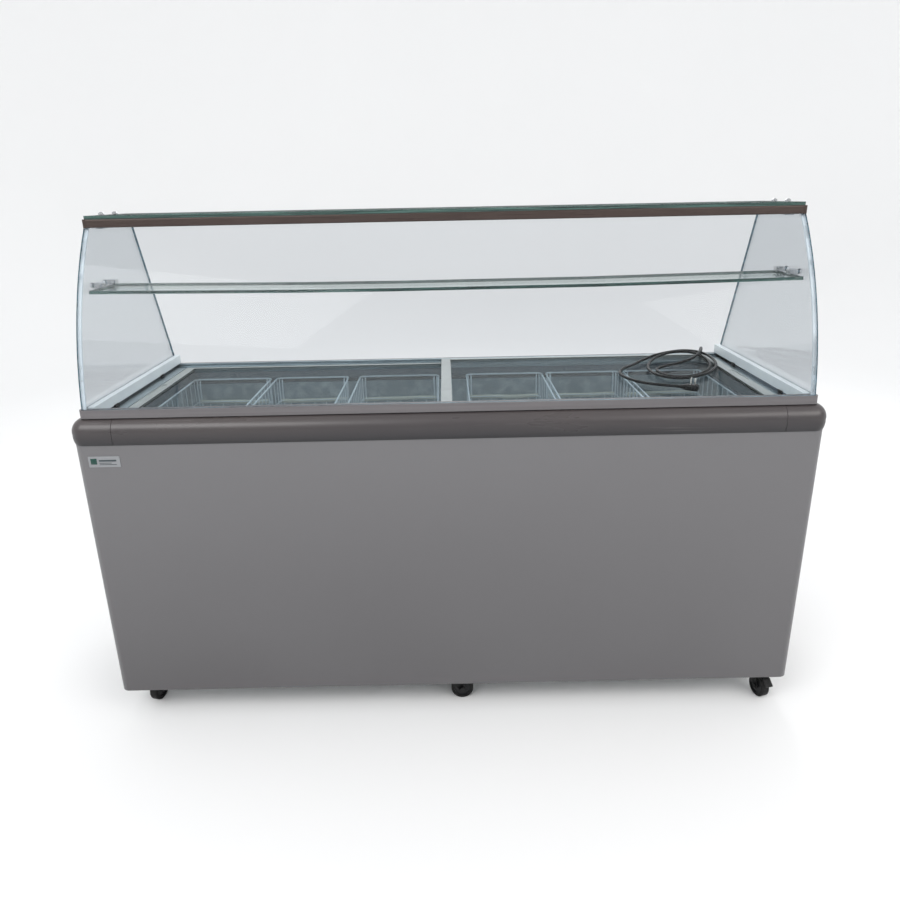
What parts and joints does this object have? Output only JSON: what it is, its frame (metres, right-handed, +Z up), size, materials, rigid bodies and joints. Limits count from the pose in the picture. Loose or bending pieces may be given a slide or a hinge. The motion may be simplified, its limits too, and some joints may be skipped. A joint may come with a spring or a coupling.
{
  "type": "chest freezer",
  "caption": "Long insulated chest freezer on casters with sliding glass lids, hanging wire baskets and a curved-glass display canopy with a glass shelf above.",
  "frame": {"origin": "on the floor under the middle of the cabinet, at the bottom centre of its bounding box without the cord", "axes": "+X along the front to the customer's right, -Y towards the customer, +Z up"},
  "size_m": [1.8356, 0.7012, 1.33],
  "materials": {
    "grey_paint": "satin",
    "rail_paint": "satin",
    "bumper_plastic": "satin",
    "slate_plastic": "satin",
    "white_plastic": "satin",
    "lid_plastic": "satin",
    "track_aluminium": "satin",
    "liner_aluminium": "satin",
    "foam": "matte",
    "clear_glass": "polished",
    "seal": "satin",
    "head_rail_metal": "polished",
    "polished_steel": "polished",
    "galvanised": "satin",
    "copper": "satin",
    "black_enamel": "gloss",
    "basket_wire": "satin",
    "caster_steel": "satin",
    "wheel_rubber": "matte",
    "black_rubber": "matte",
    "black_plastic": "satin",
    "cord_sheath": "satin",
    "plate_white": "satin"
  },
  "bodies": {
    "cabinet": {"front_panel": "grey_paint", "side_panels": "grey_paint", "back_panel": "grey_paint", "base_pan": "galvanised", "foam_insulation": "foam", "inner_liner": "liner_aluminium", "breaker_strips": "slate_plastic", "bumper_rails": "bumper_plastic", "bumper_corners": "bumper_plastic", "front_rail": "rail_paint", "side_channels": "white_plastic", "lid_tracks": "track_aluminium", "rubber_pads": "black_rubber", "front_glass": "clear_glass", "glass_seals": "seal", "side_glasses": "clear_glass", "top_glass": "clear_glass", "head_rail": "head_rail_metal", "glass_shelf": "clear_glass", "glass_clamps": "polished_steel", "cap_nuts": "polished_steel", "name_plate": "plate_white", "caster_plates": "galvanised", "compressor": "black_enamel", "compressor_mounts": "black_rubber", "condenser": "galvanised", "fan_shroud": "galvanised", "fan_motor": "galvanised", "refrigerant_pipes": "copper", "machine_cover": "grey_paint", "cover_screws": "galvanised", "thermostat": "white_plastic", "cord_tube": "cord_sheath", "cord_coil": "cord_sheath", "cord_gland": "black_plastic", "plug": "black_plastic"},
    "left_lid": {"left_lid_frame": "lid_plastic", "left_lid_glass": "clear_glass"},
    "right_lid": {"right_lid_frame": "lid_plastic", "right_lid_glass": "clear_glass"},
    "fan": {"fan_blade": "black_plastic"},
    "knob": {"thermostat_knob": "black_plastic"},
    "wire_basket_1": {"basket_1": "basket_wire"},
    "swivel_1": {"caster_1_fork": "caster_steel"},
    "wheel_1": {"caster_1_wheel": "wheel_rubber"},
    "wire_basket_2": {"basket_2": "basket_wire"},
    "swivel_2": {"caster_2_fork": "caster_steel"},
    "wheel_2": {"caster_2_wheel": "wheel_rubber"},
    "wire_basket_3": {"basket_3": "basket_wire"},
    "swivel_3": {"caster_3_fork": "caster_steel"},
    "wheel_3": {"caster_3_wheel": "wheel_rubber"},
    "wire_basket_4": {"basket_4": "basket_wire"},
    "swivel_4": {"caster_4_fork": "caster_steel"},
    "wheel_4": {"caster_4_wheel": "wheel_rubber"},
    "wire_basket_5": {"basket_5": "basket_wire"},
    "swivel_5": {"caster_5_fork": "caster_steel"},
    "wheel_5": {"caster_5_wheel": "wheel_rubber"},
    "wire_basket_6": {"basket_6": "basket_wire"},
    "swivel_6": {"caster_6_fork": "caster_steel"},
    "wheel_6": {"caster_6_wheel": "wheel_rubber"}
  },
  "joints": [
    {"name": "left_lid_slide", "type": "slide", "parent": "cabinet", "child": "left_lid", "axis": [1, 0, 0], "range_m": [0, 0.8]},
    {"name": "right_lid_slide", "type": "slide", "parent": "cabinet", "child": "right_lid", "axis": [-1, 0, 0], "range_m": [0, 0.8]},
    {"name": "basket_1_lift", "type": "slide", "parent": "cabinet", "child": "wire_basket_1", "axis": [0, 0, 1], "range_m": [0, 0.024]},
    {"name": "basket_2_lift", "type": "slide", "parent": "cabinet", "child": "wire_basket_2", "axis": [0, 0, 1], "range_m": [0, 0.024]},
    {"name": "basket_3_lift", "type": "slide", "parent": "cabinet", "child": "wire_basket_3", "axis": [0, 0, 1], "range_m": [0, 0.024]},
    {"name": "basket_4_lift", "type": "slide", "parent": "cabinet", "child": "wire_basket_4", "axis": [0, 0, 1], "range_m": [0, 0.024]},
    {"name": "basket_5_lift", "type": "slide", "parent": "cabinet", "child": "wire_basket_5", "axis": [0, 0, 1], "range_m": [0, 0.024]},
    {"name": "basket_6_lift", "type": "slide", "parent": "cabinet", "child": "wire_basket_6", "axis": [0, 0, 1], "range_m": [0, 0.024]},
    {"name": "caster_1_swivel", "type": "hinge", "parent": "cabinet", "child": "swivel_1", "pos_m": [-0.854, -0.262, 0.073], "axis": [0, 0, 1], "continuous": true},
    {"name": "caster_1_roll", "type": "hinge", "parent": "swivel_1", "child": "wheel_1", "pos_m": [-0.84831, -0.24075, 0.031], "axis": [-0.9659, 0.2588, 0], "continuous": true},
    {"name": "caster_2_swivel", "type": "hinge", "parent": "cabinet", "child": "swivel_2", "pos_m": [0, -0.262, 0.073], "axis": [0, 0, 1], "continuous": true},
    {"name": "caster_2_roll", "type": "hinge", "parent": "swivel_2", "child": "wheel_2", "pos_m": [0.022, -0.262, 0.031], "axis": [0, 1, 0], "continuous": true},
    {"name": "caster_3_swivel", "type": "hinge", "parent": "cabinet", "child": "swivel_3", "pos_m": [0.854, -0.262, 0.073], "axis": [0, 0, 1], "continuous": true},
    {"name": "caster_3_roll", "type": "hinge", "parent": "swivel_3", "child": "wheel_3", "pos_m": [0.85969, -0.28325, 0.031], "axis": [0.9659, 0.2588, 0], "continuous": true},
    {"name": "caster_4_swivel", "type": "hinge", "parent": "cabinet", "child": "swivel_4", "pos_m": [-0.854, 0.262, 0.073], "axis": [0, 0, 1], "continuous": true},
    {"name": "caster_4_roll", "type": "hinge", "parent": "swivel_4", "child": "wheel_4", "pos_m": [-0.87085, 0.27614, 0.031], "axis": [-0.6428, -0.766, 0], "continuous": true},
    {"name": "caster_5_swivel", "type": "hinge", "parent": "cabinet", "child": "swivel_5", "pos_m": [0, 0.262, 0.073], "axis": [0, 0, 1], "continuous": true},
    {"name": "caster_5_roll", "type": "hinge", "parent": "swivel_5", "child": "wheel_5", "pos_m": [0.02067, 0.26952, 0.031], "axis": [-0.342, 0.9397, 0], "continuous": true},
    {"name": "caster_6_swivel", "type": "hinge", "parent": "cabinet", "child": "swivel_6", "pos_m": [0.854, 0.262, 0.073], "axis": [0, 0, 1], "continuous": true},
    {"name": "caster_6_roll", "type": "hinge", "parent": "swivel_6", "child": "wheel_6", "pos_m": [0.865, 0.28105, 0.031], "axis": [-0.866, 0.5, 0], "continuous": true},
    {"name": "fan_spin", "type": "hinge", "parent": "cabinet", "child": "fan", "pos_m": [0.745, 0.216, 0.225], "axis": [0, 1, 0], "continuous": true},
    {"name": "thermostat_turn", "type": "hinge", "parent": "cabinet", "child": "knob", "pos_m": [0.64, 0.336, 0.318], "axis": [0, 1, 0], "range_deg": [-270, 0]}
  ]
}
